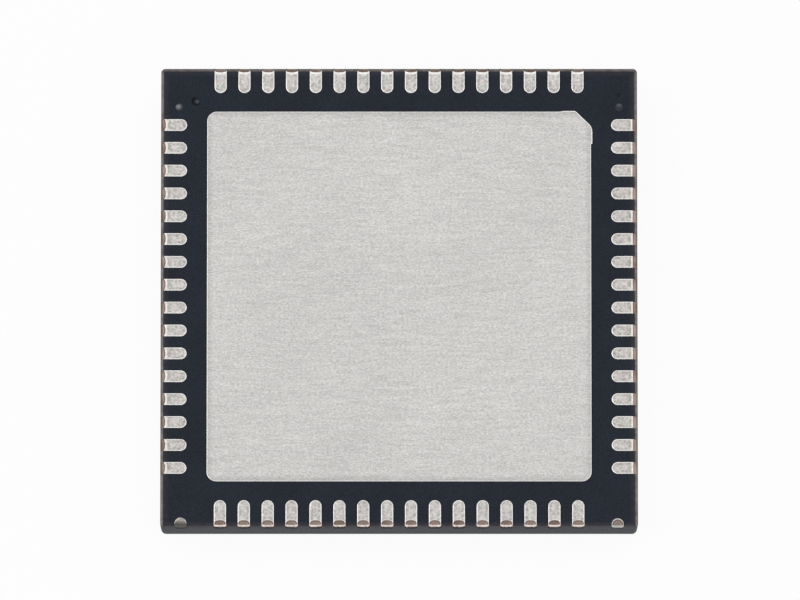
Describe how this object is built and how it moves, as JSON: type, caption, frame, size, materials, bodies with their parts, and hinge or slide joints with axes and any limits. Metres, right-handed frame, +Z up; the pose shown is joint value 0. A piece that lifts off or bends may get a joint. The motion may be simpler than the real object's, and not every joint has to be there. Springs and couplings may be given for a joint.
{
  "type": "ethernet controller chip",
  "caption": "Square leadless surface-mount chip package with a large exposed thermal pad and a row of round-nosed solder terminals along each edge.",
  "frame": {"origin": "centre of the marking face, which the package lies on", "axes": "+Z up out of the solder side, +X to the right and +Y to the back of the solder side with the chamfered pad corner at back right"},
  "size_m": [0.008, 0.008, 0.0008],
  "materials": {
    "epoxy_mould": "fine matt moulding compound, blue-black",
    "tin_plate": "matt tin plate with a fine rolled grain",
    "die_adhesive": "cured silver-filled adhesive",
    "silicon": "polished silicon",
    "gold_wire": "bright drawn gold wire"
  },
  "bodies": {
    "root": {"mould_body": "epoxy_mould", "die_paddle": "tin_plate", "die_attach": "die_adhesive", "silicon_die": "silicon", "terminals_front": "tin_plate", "terminals_right": "tin_plate", "terminals_back": "tin_plate", "terminals_left": "tin_plate", "bond_wires_front": "gold_wire", "bond_wires_right": "gold_wire", "bond_wires_back": "gold_wire", "bond_wires_left": "gold_wire"}
  },
  "joints": []
}
